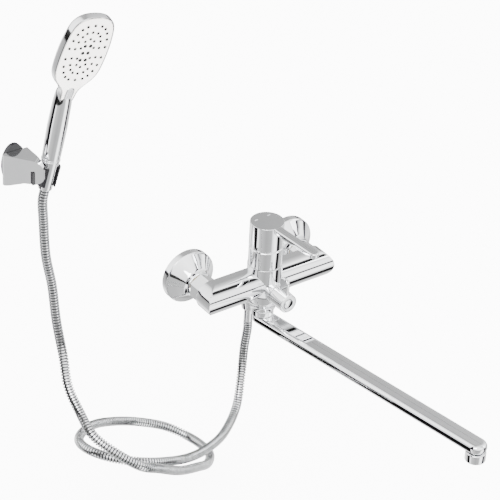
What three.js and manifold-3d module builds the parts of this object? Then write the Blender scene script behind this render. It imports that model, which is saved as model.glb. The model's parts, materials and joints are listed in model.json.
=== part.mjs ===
// Wall mounted bath faucet: two-hole bar mixer with a long swivel spout, a diverter,
// a shower hose, a handset and its wall bracket.
// Millimetres, +Z up. The wall is the plane Y = 0 and -Y points out of it into the room.
// The origin lies on the wall, midway between the two inlets.
import * as THREE from 'three';
import { mergeVertices } from 'three/addons/utils/BufferGeometryUtils.js';
import Module from 'manifold-3d';

const wasm = await Module();
wasm.setup();

// Driving dimensions
const clearance = 0.35;
const fine = 28;
const coarse = 16;
const smooth = 32;

// Inlets
const inletSpacing = 150;
const rosetteRadius = 35;
const rosetteRim = 10;
const rosetteNeck = 17.3;
const rosetteDepth = 29.5;
const sheetWall = 1.8;
const pipeRadius = 10.4;
const pipeBore = 7;
const pipeInWall = 14;
const nutAcrossFlats = 30;
const spigotRadius = pipeRadius + 2;
const gasketThickness = 3.2;

// Mixer body
const bodyBack = -51.2;
const bodyAxis = bodyBack - 10.2;
const barRadius = 19.4;
const neckTop = 26.2;
const collarWall = 1.7;
const collarTop = 49;
const bellyBottom = -20;
const bodyFoot = -40;
const bossRadius = 13.2;

// Cartridge
const cartridgeRadius = 17.5;
const cartridgeWall = 1.8;
const cartridgeFloor = 4.4;
const cartridgeHeight = 41.4;
const cartridgePort = 4;
const baseThickness = 6.6;
const discThickness = 4;
const housingRoof = 5;

// Lever and its cover
const pivotHeight = 30;
const leverLift = THREE.MathUtils.degToRad(15);
const coverWall = 1.4;
const coverGap = 0.7;
const collarRadius = cartridgeRadius + collarWall;
const capRadius = collarRadius + coverGap + coverWall;
const neckRadius = capRadius + 0.5;
const bellyRadius = neckRadius + 5.2;
const bossFront = bodyAxis - bellyRadius - 1.6;
const capBottom = 52.5;
const capTop = 86;
const capWall = 2;
const bladeReach = 92;
const bladeWidth = 11;
const bladeThickness = 7;
const bladeTurn = 5;
const spindleWidth = 7;
const spindleTop = 72;
const screwRadius = 2.5;
const screwLength = 9;
const screwHeight = 66;

// Diverter
const diverterHeight = -6;
const diverterBore = 9;
const diverterInner = 5.6;
const diverterSpindleRadius = 3.4;
const diverterEnd = bodyAxis - 4;
const knobFront = bossFront - 24;
const knobRadius = 12;
const finThickness = 4.6;
const finTop = 27;
const finRadius = 8;
const indexRadius = 6;
const knobScrewRadius = 1.9;
const knobScrewDepth = 8;

// Spout
const spoutReach = 350;
const spoutTurn = 10;
const spoutWidth = 25;
const spoutHeight = 13;
const spoutWall = 1.6;
const spoutTop = -48.6;
const stemRadius = 9;
const stemTop = -22;
const spoutNutRadius = stemRadius + 5.4;
const bodyFootRadius = spoutNutRadius + 1.6;
const sealDrops = [6, 14];
const sealHeight = 2.6;
const grooveDepth = 1.2;
const aeratorRadius = 12.4;
const aeratorWall = 2.8;
const aeratorHeight = 12.6;
const spoutMouth = 8;

// Shower outlet and hose
const outletY = bodyAxis + 28.4;
const outletTop = -12;
const nippleRadius = 8.2;
const nippleBottom = -50;
const outletRadius = nippleRadius + 3.3;
const gasketHeight = 2;
const flangeHeight = 1.4;
const hoseBore = 3.4;
const hoseNutBottom = -58;
const ferruleRadius = 5.6;
const ferruleBottom = -78;
const hoseRadius = 5.8;
const hoseLead = 12;

// Handset, from the foot of its handle
const handsetFoot = new THREE.Vector3(-285, -30, 243);
const handsetLean = 12.2;
const headBend = 14;
const handleLength = 80;
const handleRadius = 11;
const handleBore = 7.5;
const headLength = 112;
const headWidth = 61;
const headThickness = 17;
const faceThickness = 2.4;
const faceMargin = 1.6;
const buttonWidth = 11;
const buttonLength = 18;
const buttonLow = -2;
const matThickness = 2;
const ferruleLength = 2;
const seatHeight = -15.3;
const coneTopRadius = 10.6;
const coneBottomRadius = 8;
const coneLength = 37;

// Wall bracket
const cupWall = 2.6;
const cupTop = -7;
const cupLength = 25;
const cupSlot = 13.4;
const armHalfWidth = 8;
const armBottom = 221;
const armTop = 237;
const armInset = 12;
const plateWidth = 30;
const plateHeight = 52;
const plateThickness = 5;
const wedgeLeft = -333;
const wedgeRight = -301;
const wedgeFront = -46;
const wedgeBase = 4;
const bracketTop = 251;
const bracketBottom = 217;
const bracketScrews = [[-324, 230], [-311, 246]];
const bracketScrewRadius = 2.3;
const bracketScrewHead = 3;
const bracketScrewHeight = 3;

const group = new THREE.Group();
group.name = 'wall_mounted_bath_faucet';

const finishes = {
  chrome: { color: 0xd9dcde, roughness: 0.06, metalness: 1 },
  brass: { color: 0xb99a57, roughness: 0.35, metalness: 1 },
  rubber: { color: 0x1c1c1d, roughness: 0.8, metalness: 0 },
  ceramic: { color: 0xe9e6df, roughness: 0.3, metalness: 0 },
  whitePlastic: { color: 0xe9e7e4, roughness: 0.25, metalness: 0 },
  greyPlastic: { color: 0x8d9093, roughness: 0.5, metalness: 0 },
  blackPlastic: { color: 0x18191b, roughness: 0.45, metalness: 0 },
  steel: { color: 0xa9acaf, roughness: 0.3, metalness: 1 },
};

// A closed geometry that holds only positions, without flat triangles, facing out.
function tidied(geometry) {
  const bare = geometry.clone();
  bare.deleteAttribute('normal');
  bare.deleteAttribute('uv');
  const merged = mergeVertices(bare, 1e-4);
  const kept = [];
  const index = merged.index.array;
  for (let i = 0; i < index.length; i += 3) {
    const [a, b, c] = [index[i], index[i + 1], index[i + 2]];
    if (a !== b && b !== c && c !== a) kept.push(a, b, c);
  }
  if (signedVolume(merged.attributes.position, kept) < 0) kept.reverse();
  merged.setIndex(kept);
  return merged;
}

function signedVolume(position, index) {
  const a = new THREE.Vector3();
  const b = new THREE.Vector3();
  const c = new THREE.Vector3();
  let total = 0;
  for (let i = 0; i < index.length; i += 3) {
    a.fromBufferAttribute(position, index[i]);
    b.fromBufferAttribute(position, index[i + 1]);
    c.fromBufferAttribute(position, index[i + 2]);
    total += a.dot(b.cross(c)) / 6;
  }
  return total;
}

function toSolid(geometry) {
  const mesh = new wasm.Mesh({
    numProp: 3,
    vertProperties: Float32Array.from(geometry.attributes.position.array),
    triVerts: Uint32Array.from(geometry.index.array),
  });
  return new wasm.Manifold(mesh);
}

function fromSolid(solid) {
  const mesh = solid.getMesh();
  const geometry = new THREE.BufferGeometry();
  const places = Float32Array.from(mesh.vertProperties);
  geometry.setAttribute('position', new THREE.BufferAttribute(places, 3));
  geometry.setIndex(Array.from(mesh.triVerts));
  return geometry;
}

function join(first, ...others) {
  let solid = toSolid(first);
  for (const other of others) solid = solid.add(toSolid(other));
  return fromSolid(solid);
}

function cut(first, ...others) {
  let solid = toSolid(first);
  for (const other of others) solid = solid.subtract(toSolid(other));
  return fromSolid(solid);
}

function common(first, ...others) {
  let solid = toSolid(first);
  for (const other of others) solid = solid.intersect(toSolid(other));
  return fromSolid(solid);
}

function piece(name, geometry, finish) {
  const shown = geometry.clone();
  shown.computeVertexNormals();
  const mesh = new THREE.Mesh(shown, new THREE.MeshStandardMaterial(finishes[finish]));
  mesh.name = name;
  group.add(mesh);
  return geometry;
}

// A turned solid: the profile's pairs are radius and distance along the Y axis.
function turned(profile, segments = fine) {
  const points = profile.map(([radius, along]) => new THREE.Vector2(radius, along));
  return tidied(new THREE.LatheGeometry(points, segments));
}

// The same about a vertical axis through (x, y), the pairs being radius and height.
function turnedUp(profile, x, y, segments = fine) {
  return turned(profile, segments).rotateX(Math.PI / 2).translate(x, y, 0);
}

// The same about a level axis through (x, z) that runs along Y.
function turnedOut(profile, x, z, segments = fine) {
  return turned(profile, segments).translate(x, 0, z);
}

function rod(radius, low, high) {
  return [[0, low], [radius, low], [radius, high], [0, high]];
}

function ring(inner, outer, low, high) {
  return [[inner, low], [outer, low], [outer, high], [inner, high], [inner, low]];
}

function block(lowX, lowY, lowZ, highX, highY, highZ) {
  const geometry = new THREE.BoxGeometry(highX - lowX, highY - lowY, highZ - lowZ);
  geometry.translate((lowX + highX) / 2, (lowY + highY) / 2, (lowZ + highZ) / 2);
  return tidied(geometry);
}

function prism(shape, depth, options = {}) {
  const settings = { depth, bevelEnabled: false, curveSegments: 8, steps: 1, ...options };
  return tidied(new THREE.ExtrudeGeometry(shape, settings));
}

// A slot outline with round ends, between two centres on the X axis.
function slotShape(from, to, radius) {
  const shape = new THREE.Shape();
  shape.absarc(to, 0, radius, -Math.PI / 2, Math.PI / 2, false);
  shape.absarc(from, 0, radius, Math.PI / 2, Math.PI * 1.5, false);
  shape.closePath();
  return shape;
}

// Inlet set: rosette, union, nut and gasket, left and right alike.
function inletSet(side, x) {
  const inner = pipeRadius + sheetWall;
  const rosette = [
    [rosetteRadius - 3 * sheetWall, 0],
    [rosetteRadius - 0.8, 0],
    [rosetteRadius, -0.8],
    [rosetteRadius, 1 - rosetteRim],
    [rosetteRadius - 1.4, -rosetteRim],
    [rosetteRadius * 0.72, -rosetteDepth * 0.62],
    [rosetteNeck + 1.6, -rosetteDepth * 0.85],
    [rosetteNeck, -rosetteDepth],
    [rosetteNeck - 2 * sheetWall, -rosetteDepth],
    [rosetteNeck - 2 * sheetWall, sheetWall - rosetteDepth],
    [rosetteNeck - 0.6, -rosetteDepth * 0.82],
    [rosetteRadius * 0.68, -rosetteDepth * 0.56],
    [rosetteRadius - 3 * sheetWall, 1.6 - rosetteRim],
    [rosetteRadius - 3 * sheetWall, 0],
  ];
  piece(`${side}_rosette`, turnedOut(rosette, x, 0), 'chrome');

  const nutBack = -rosetteDepth - clearance;
  const nutFront = bodyBack + clearance;
  const gasketFront = bodyBack + clearance;
  const spigotFront = gasketFront + gasketThickness + clearance;
  const union = [
    [pipeBore, pipeInWall],
    [pipeRadius - 1, pipeInWall],
    [pipeRadius, pipeInWall - 1.2],
    [pipeRadius, nutBack + 2 * clearance],
    [inner - clearance, nutBack],
    [inner - clearance, nutBack - 3],
    [spigotRadius, nutBack - 3.6],
    [spigotRadius, spigotFront],
    [pipeBore, spigotFront],
    [pipeBore, pipeInWall],
  ];
  piece(`${side}_inlet_union`, turnedOut(union, x, 0, coarse), 'brass');

  const corner = nutAcrossFlats / Math.sqrt(3);
  const chamfer = corner - nutAcrossFlats / 2;
  const hex = [
    [0, nutFront],
    [corner - chamfer, nutFront],
    [corner, nutFront + chamfer],
    [corner, nutBack - chamfer],
    [corner - chamfer, nutBack],
    [0, nutBack],
  ];
  const hexSolid = turned(hex, 6).translate(x, 0, 0);
  const nutBore = turnedOut(rod(spigotRadius + clearance, nutFront - 1, nutBack + 1), x, 0, coarse);
  piece(`${side}_union_nut`, cut(hexSolid, nutBore), 'chrome');

  const gasket = ring(pipeBore + 0.5, spigotRadius - 0.4, gasketFront, gasketFront + gasketThickness);
  piece(`${side}_inlet_gasket`, turnedOut(gasket, x, 0, coarse), 'rubber');
}

// The one casting: bar, neck, belly, diverter boss and shower outlet, with its bores.
function mixerBody() {
  const halfSpan = inletSpacing / 2;
  const outline = prism(slotShape(-halfSpan, halfSpan, barRadius), barRadius * 2);
  outline.rotateX(Math.PI / 2).translate(0, bodyBack, 0);

  const section = new THREE.Shape();
  section.moveTo(bodyBack + 1, -barRadius);
  section.lineTo(bodyBack + 1, barRadius);
  section.lineTo(bodyAxis, barRadius);
  section.absarc(bodyAxis, 0, barRadius, Math.PI / 2, Math.PI * 1.5, false);
  section.closePath();
  const barLength = inletSpacing + 4 * barRadius;
  const dSection = prism(section, barLength, { curveSegments: 10 });
  dSection.applyMatrix4(new THREE.Matrix4().makeBasis(
    new THREE.Vector3(0, 1, 0), new THREE.Vector3(0, 0, 1), new THREE.Vector3(1, 0, 0),
  ));
  dSection.translate(-barLength / 2, 0, 0);
  const bar = common(outline, dSection);

  const neck = turnedUp([
    [0, -barRadius],
    [neckRadius, -barRadius],
    [neckRadius, neckTop],
    [collarRadius, neckTop],
    [collarRadius, collarTop],
    [0, collarTop],
  ], 0, bodyAxis);
  const belly = turnedUp([
    [0, bodyFoot],
    [bodyFootRadius - 0.8, bodyFoot],
    [bodyFootRadius, bodyFoot + 0.8],
    [bodyFootRadius + 1, bodyFoot + 6],
    [bodyFootRadius + 4, bodyFoot + 11],
    [bellyRadius - 2, bellyBottom - 3.5],
    [bellyRadius, bellyBottom],
    [bellyRadius, bellyBottom + 8],
    [bellyRadius - 4, -2],
    [0, -2],
  ], 0, bodyAxis);
  const boss = turnedOut(rod(bossRadius, bossFront, bodyAxis), 0, diverterHeight);
  const outlet = turnedUp(rod(outletRadius, bodyFoot, outletTop), 0, outletY);
  const web = block(-outletRadius, bodyAxis, bodyFoot + 10, outletRadius, outletY, outletTop);
  const solid = join(bar, neck, belly, boss, outlet, web);

  const cartridgeBore = turnedUp(
    rod(cartridgeRadius + clearance, cartridgeFloor, collarTop + 1), 0, bodyAxis,
  );
  const diverterHole = turnedOut(
    rod(diverterBore, bossFront - 1, diverterEnd), 0, diverterHeight, coarse,
  );
  const stemHole = turnedUp(
    rod(stemRadius + 1.5, bodyFoot - 1, stemTop + 2), 0, bodyAxis, coarse,
  );
  const outletHole = turnedUp(
    rod(nippleRadius + clearance, bodyFoot - 1, bellyBottom), 0, outletY, coarse,
  );
  const inletHoles = [-1, 1].map((side) => turnedOut(
    rod(pipeBore, bodyBack - 16, bodyBack + 1), side * halfSpan, 0, coarse,
  ));
  const crossBore = turned(rod(pipeBore - 1, -halfSpan - 2, halfSpan + 2), coarse);
  crossBore.rotateZ(Math.PI / 2).translate(0, bodyBack - 10, 0);
  return cut(solid, cartridgeBore, diverterHole, stemHole, outletHole, ...inletHoles, crossBore);
}

// Radius of the hole that the tilting spindle needs at a distance from the lever's pivot.
function swingRadius(distance) {
  const corner = Math.asin(spindleWidth * Math.SQRT1_2 / distance);
  return distance * Math.sin(leverLift + corner) + clearance;
}

// Mixing cartridge: base, fixed disc, moving disc, carrier, housing and nut.
function cartridge() {
  const foot = cartridgeFloor + clearance;
  const baseTop = foot + baseThickness;
  const lowerTop = baseTop + clearance + discThickness;
  const upperTop = lowerTop + clearance + discThickness;
  const housingTop = cartridgeFloor + cartridgeHeight;
  const inside = cartridgeRadius - cartridgeWall;
  const carrierRadius = inside - 3.2;
  const hole = swingRadius(housingTop - pivotHeight) + 1;
  const base = ring(cartridgePort, cartridgeRadius, foot, baseTop);
  const housing = [
    [inside, baseTop + clearance],
    [cartridgeRadius, baseTop + clearance],
    [cartridgeRadius, housingTop],
    [hole, housingTop],
    [hole, housingTop - housingRoof],
    [inside, housingTop - housingRoof - 2],
    [inside, baseTop + clearance],
  ];
  const fixedDisc = ring(cartridgePort, inside - clearance, baseTop + clearance, lowerTop);
  const movingDisc = rod(carrierRadius - 1, lowerTop + clearance, upperTop);
  const carrier = rod(carrierRadius, upperTop + clearance, pivotHeight - 3);
  const nut = ring(carrierRadius, cartridgeRadius, housingTop + clearance, collarTop + 0.8);
  const pieces = [
    ['cartridge_base', base, 'greyPlastic'],
    ['cartridge_housing', housing, 'greyPlastic'],
    ['fixed_ceramic_disc', fixedDisc, 'ceramic'],
    ['moving_ceramic_disc', movingDisc, 'ceramic'],
    ['disc_carrier', carrier, 'greyPlastic'],
    ['cartridge_nut', nut, 'brass'],
  ];
  for (const [name, profile, finish] of pieces) {
    piece(name, turnedUp(profile, 0, bodyAxis, coarse), finish);
  }
}

// A point on a sphere about the lever's pivot: its height at a given distance from the axis.
function sphereHeight(sphere, radius) {
  return pivotHeight + Math.sqrt(sphere * sphere - radius * radius);
}

// Radius of the sphere that the cap's hollow shares with the cover's shoulder.
function leverSphere() {
  const innerRim = capRadius - capWall;
  return Math.hypot(innerRim, capBottom - pivotHeight);
}

// Cover over the cartridge: its shoulder is part of a sphere about the lever's pivot.
function cartridgeCover() {
  const outer = leverSphere() - clearance;
  const inner = outer - coverWall;
  const hole = swingRadius(outer);
  const bore = capRadius - coverWall;
  const steps = [0, 0.25, 0.5, 0.75, 1];
  const over = steps.map((t) => capRadius - 0.2 + t * (hole - capRadius + 0.2));
  const under = steps.map((t) => hole + t * (bore - 0.5 - hole));
  piece('cartridge_cover', turnedUp([
    [bore, neckTop + clearance],
    [capRadius - 0.2, neckTop + clearance],
    ...over.map((radius) => [radius, sphereHeight(outer, radius)]),
    ...under.map((radius) => [radius, sphereHeight(inner, radius)]),
    [bore, sphereHeight(inner, bore)],
    [bore, neckTop + clearance],
  ], 0, bodyAxis), 'chrome');
}

// Lever: a round cap with a flat blade, over a square spindle.
function lever() {
  const hollow = leverSphere() + 0.1;
  const steps = [0.25, 0.5, 0.7, 0.85, 1];
  const rim = capRadius - capWall;
  const cap = turnedUp([
    [rim, capBottom],
    [capRadius, capBottom],
    [capRadius, capTop - 1],
    [capRadius - 1, capTop],
    [0, capTop],
    [0, sphereHeight(hollow, 0)],
    ...steps.map((t) => [rim * t, sphereHeight(hollow, rim * t)]),
    [rim, capBottom],
  ], 0, bodyAxis);
  const tip = bladeReach - bladeWidth / 2;
  const blade = prism(slotShape(0, tip, bladeWidth / 2), bladeThickness - 1.6, {
    bevelEnabled: true, bevelThickness: 0.8, bevelSize: 0.8, bevelOffset: -0.8, bevelSegments: 2,
  });
  blade.rotateZ(-Math.PI / 2).translate(0, bodyAxis, capTop - bladeThickness + 0.8);

  const half = spindleWidth / 2;
  const socket = half + clearance;
  const socketHole = block(
    -socket, bodyAxis - socket, capBottom, socket, bodyAxis + socket, spindleTop + clearance,
  );
  const screwHole = turnedOut(
    rod(screwRadius + clearance, bodyAxis, bodyAxis + capRadius + 1), 0, screwHeight, coarse,
  );
  const leverSolid = cut(join(cap, blade), socketHole, screwHole);
  const spindle = block(
    -half, bodyAxis - half, pivotHeight - 1.4, half, bodyAxis + half, spindleTop,
  );
  const screwStart = bodyAxis + half + clearance;
  const screwEnd = screwStart + screwLength;
  const screw = turnedOut(rod(screwRadius, screwStart, screwEnd), 0, screwHeight, coarse);
  const plug = turnedOut(
    rod(screwRadius, screwEnd + clearance, bodyAxis + capRadius - 0.4), 0, screwHeight, coarse,
  );
  const turn = THREE.MathUtils.degToRad(bladeTurn);
  const pieces = [
    ['lever', leverSolid, 'chrome'],
    ['lever_spindle', spindle, 'brass'],
    ['lever_grub_screw', screw, 'steel'],
    ['lever_screw_plug', plug, 'greyPlastic'],
  ];
  for (const [name, geometry, finish] of pieces) {
    piece(name, geometry.translate(0, -bodyAxis, 0).rotateZ(turn).translate(0, bodyAxis, 0), finish);
  }
}

// Diverter: valve in the front boss, turned by a knob with a fin.
function diverter() {
  const onAxis = (profile, segments = coarse) => turnedOut(profile, 0, diverterHeight, segments);
  const innerEnd = diverterEnd - clearance;
  const knobBack = bossFront - clearance;
  const housingFront = knobBack - 3;
  const socketEnd = knobFront + knobScrewDepth;
  const outer = diverterBore - clearance;
  const flange = diverterInner - clearance;
  const housing = ring(diverterInner, outer, housingFront, innerEnd - 3);
  piece('diverter_housing', onAxis(housing), 'brass');
  piece('diverter_disc', onAxis(rod(outer - 1.65, innerEnd - 2.6, innerEnd)), 'ceramic');
  piece('diverter_spindle', onAxis([
    [0, socketEnd],
    [diverterSpindleRadius, socketEnd],
    [diverterSpindleRadius, housingFront + 2],
    [flange, housingFront + 3],
    [flange, innerEnd - 3],
    [0, innerEnd - 3],
  ]), 'brass');

  const knobShape = onAxis([
    [0, knobFront],
    [knobRadius - 1, knobFront],
    [knobRadius, knobFront + 1],
    [knobRadius + 0.8, knobBack - 1],
    [knobRadius, knobBack],
    [0, knobBack],
  ], fine);
  const finMiddle = (knobBack - 5 + knobFront) / 2;
  const fin = prism(slotShape(0, finTop - diverterHeight - finRadius, finRadius), finThickness);
  fin.rotateY(-Math.PI / 2).translate(finThickness / 2, finMiddle, diverterHeight);
  const recess = onAxis(rod(outer + clearance, housingFront - clearance, knobBack + 1));
  const socket = onAxis(rod(diverterSpindleRadius + clearance, socketEnd - 1, knobBack + 1));
  const screwPath = onAxis(rod(knobScrewRadius + 0.4, knobFront + 1, socketEnd));
  const seat = onAxis(rod(indexRadius + clearance, knobFront - 1, knobFront + 4));
  const screw = onAxis(rod(knobScrewRadius, knobFront + 2.4, socketEnd - clearance));
  const index = onAxis(rod(indexRadius, knobFront - 0.3, knobFront + 2));
  piece('diverter_knob', cut(join(knobShape, fin), recess, socket, screwPath, seat), 'chrome');
  piece('diverter_knob_screw', screw, 'steel');
  piece('diverter_index_cap', index, 'chrome');
}

// A flat tube with round edges and round ends, from the swivel axis to its reach.
function flatTube(width, height, reach) {
  const edge = height / 2;
  const section = slotShape(-width / 2 + edge, width / 2 - edge, edge);
  const straight = prism(section, reach, { curveSegments: 5 });
  straight.rotateX(Math.PI / 2);
  const end = [];
  const arcSteps = 6;
  for (let step = 0; step <= arcSteps; step += 1) {
    const angle = -Math.PI / 2 + step * Math.PI / arcSteps;
    end.push([width / 2 - edge + edge * Math.cos(angle), edge * Math.sin(angle)]);
  }
  const round = turnedUp([[0, -edge], ...end, [0, edge]], 0, 0, fine);
  return join(straight, round, round.clone().translate(0, -reach, 0));
}

// Swivel spout with its nut, seals and aerator.
function spout() {
  const middle = spoutTop - spoutHeight / 2;
  const bottom = spoutTop - spoutHeight;
  const outside = flatTube(spoutWidth, spoutHeight, spoutReach);
  const inside = flatTube(spoutWidth - 2 * spoutWall, spoutHeight - 2 * spoutWall, spoutReach);
  const stem = turnedUp(rod(stemRadius, -spoutHeight / 2 + spoutWall, stemTop - middle), 0, 0, coarse);
  const stemBore = turnedUp(rod(stemRadius - 2, 0, stemTop - middle + 1), 0, 0, coarse);
  const mouth = turnedUp(rod(spoutMouth, -spoutHeight, 0), 0, -spoutReach, coarse);
  const grooveTops = sealDrops.map((drop) => stemTop - middle - drop);
  const grooveInside = stemRadius - grooveDepth;
  const grooves = grooveTops.map((top) => turnedUp(
    ring(grooveInside, stemRadius + 1, top - sealHeight, top), 0, 0, coarse,
  ));
  const tube = cut(join(outside, stem), inside, stemBore, mouth, ...grooves);
  const seals = grooveTops.map((top) => turnedUp(ring(
    grooveInside + clearance, stemRadius + 1.2, top - sealHeight + clearance, top - clearance,
  ), 0, 0, coarse));

  const housingTop = bottom - clearance - middle;
  const housingBottom = housingTop - aeratorHeight;
  const housingBore = aeratorRadius - aeratorWall;
  const insertRadius = housingBore - 0.4;
  const housing = turnedUp([
    [housingBore, housingTop],
    [aeratorRadius - 0.6, housingTop],
    [aeratorRadius, housingTop - 0.8],
    [aeratorRadius, housingBottom + 1],
    [aeratorRadius - 1, housingBottom],
    [housingBore, housingBottom],
    [housingBore, housingTop],
  ], 0, -spoutReach);
  const insert = turnedUp(
    ring(2, insertRadius, housingBottom + 1.2, housingTop - 3), 0, -spoutReach, coarse,
  );
  const washer = turnedUp(
    ring(6, insertRadius, housingTop - 2.6, housingTop - 0.4), 0, -spoutReach, coarse,
  );
  const pieces = [
    ['spout_tube', tube, 'chrome'],
    ['spout_upper_seal', seals[0], 'rubber'],
    ['spout_lower_seal', seals[1], 'rubber'],
    ['aerator_housing', housing, 'chrome'],
    ['aerator_insert', insert, 'whitePlastic'],
    ['aerator_washer', washer, 'rubber'],
  ];
  for (const [name, geometry, finish] of pieces) {
    geometry.rotateZ(THREE.MathUtils.degToRad(spoutTurn)).translate(0, bodyAxis, middle);
    piece(name, geometry, finish);
  }
  piece('spout_nut', turnedUp([
    [stemRadius + clearance, spoutTop + clearance],
    [spoutNutRadius - 0.8, spoutTop + clearance],
    [spoutNutRadius, spoutTop + clearance + 0.8],
    [spoutNutRadius, bodyFoot - clearance],
    [stemRadius + clearance, bodyFoot - clearance],
    [stemRadius + clearance, spoutTop + clearance],
  ], 0, bodyAxis), 'chrome');
}

// Shower outlet under the body's back: nipple, check valve, gasket, nut and ferrule.
function showerOutlet() {
  const gasketTop = nippleBottom - clearance;
  const flangeTop = gasketTop - gasketHeight - clearance;
  const flangeBottom = flangeTop - flangeHeight;
  const lipTop = flangeBottom - clearance;
  const nutTop = bodyFoot - clearance;
  const nutInside = ferruleRadius + clearance;
  const nipple = ring(nippleRadius - 3, nippleRadius, nippleBottom, bellyBottom - clearance);
  const valve = ring(2, nippleRadius - 3.4, nippleBottom + 4, nippleBottom + 16);
  const gasket = ring(nippleRadius - 3.8, nippleRadius, gasketTop - gasketHeight, gasketTop);
  const ferrule = [
    [hoseBore, ferruleBottom],
    [ferruleRadius - 0.5, ferruleBottom],
    [ferruleRadius, ferruleBottom + 0.5],
    [ferruleRadius, flangeBottom],
    [nippleRadius, flangeBottom],
    [nippleRadius, flangeTop],
    [hoseBore, flangeTop],
    [hoseBore, ferruleBottom],
  ];
  const nut = [
    [nutInside, hoseNutBottom],
    [nippleRadius, hoseNutBottom],
    [nippleRadius + 0.6, hoseNutBottom + 1],
    [nippleRadius + 2.4, nutTop - 5],
    [nippleRadius + 2.4, nutTop],
    [nippleRadius + clearance, nutTop],
    [nippleRadius + clearance, lipTop],
    [nutInside, lipTop],
    [nutInside, hoseNutBottom],
  ];
  piece('shower_nipple', turnedUp(nipple, 0, outletY, coarse), 'brass');
  piece('check_valve', turnedUp(valve, 0, outletY, coarse), 'greyPlastic');
  piece('hose_gasket', turnedUp(gasket, 0, outletY, coarse), 'rubber');
  piece('hose_ferrule', turnedUp(ferrule, 0, outletY, coarse), 'chrome');
  piece('hose_nut', turnedUp(nut, 0, outletY, smooth), 'chrome');
}

// The hose's run from the outlet round one free loop and up to the handset.
const hoseRoute = [
  [-5, -35, -115], [-15, -45, -150], [-35, -65, -180], [-70, -90, -190],
  [-110, -115, -180], [-150, -135, -165], [-190, -150, -145], [-230, -150, -130],
  [-260, -130, -125], [-275, -105, -125], [-275, -80, -130], [-260, -55, -140],
  [-230, -35, -150], [-190, -20, -170], [-150, -15, -190], [-115, -25, -205],
  [-95, -45, -215], [-90, -70, -215], [-95, -95, -210], [-115, -120, -200],
  [-145, -140, -180], [-185, -160, -155], [-225, -175, -125], [-255, -180, -105],
  [-280, -165, -85], [-295, -140, -70], [-295, -110, -55], [-295, -85, -35],
  [-290, -65, -5], [-290, -50, 35], [-290, -40, 80], [-295, -35, 120],
  [-295, -30, 165],
];

function showerHose() {
  const start = new THREE.Vector3(0, outletY, ferruleBottom - clearance);
  const along = handsetAxis();
  const coneEnd = coneLength + ferruleLength + clearance;
  const end = handsetFoot.clone().addScaledVector(along, -coneEnd);
  const points = hoseRoute.map(([x, y, z]) => new THREE.Vector3(x, y, z));
  points.unshift(start, start.clone().add(new THREE.Vector3(0, 0, -hoseLead)));
  points.push(end.clone().addScaledVector(along, -hoseLead), end);
  const curve = new THREE.CatmullRomCurve3(points, false, 'centripetal');
  const section = new THREE.Shape();
  section.absarc(0, 0, hoseRadius, 0, Math.PI * 2, false);
  const tube = new THREE.ExtrudeGeometry(section, {
    steps: 76, curveSegments: 4, bevelEnabled: false, extrudePath: curve,
  });
  piece('shower_hose', tidied(tube), 'steel');
}

function handsetAxis() {
  const lean = THREE.MathUtils.degToRad(handsetLean);
  return new THREE.Vector3(Math.sin(lean), 0, Math.cos(lean));
}

// From the handset's own upright frame to its place in the bracket.
function placeHandset(geometry) {
  geometry.rotateY(THREE.MathUtils.degToRad(handsetLean));
  geometry.translate(handsetFoot.x, handsetFoot.y, handsetFoot.z);
  return geometry;
}

// The head's outline, drawn upright from its neck and drawn in by a margin.
function headShape(margin) {
  const half = headWidth / 2 - margin;
  const neck = 9.5 - margin;
  const low = -9 + margin;
  const top = headLength - margin;
  const shoulder = headLength - 20;
  const side = [
    [neck * 0.8, low, neck, low + 5, neck + 0.5, 6],
    [neck + 3, 20, half - 2, 20, half - 0.5, 44],
    [half + 1, shoulder - 28, half, shoulder - 14, half - 2.5, shoulder],
    [half - 6, top - 2, 12, top, 0, top],
  ];
  const shape = new THREE.Shape();
  shape.moveTo(0, low);
  for (const curve of side) shape.bezierCurveTo(...curve);
  side.slice().reverse().forEach(([x1, y1, x2, y2], index) => {
    const [endX, endY] = index < 3 ? side[2 - index].slice(4) : [0, low];
    shape.bezierCurveTo(-x2, y2, -x1, y1, -endX, endY);
  });
  return shape;
}

// From the head's flat drawing to the bent head on top of the handle.
function placeHead(geometry) {
  geometry.rotateX(Math.PI / 2 + THREE.MathUtils.degToRad(headBend));
  return placeHandset(geometry.translate(0, 0, handleLength));
}

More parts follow.
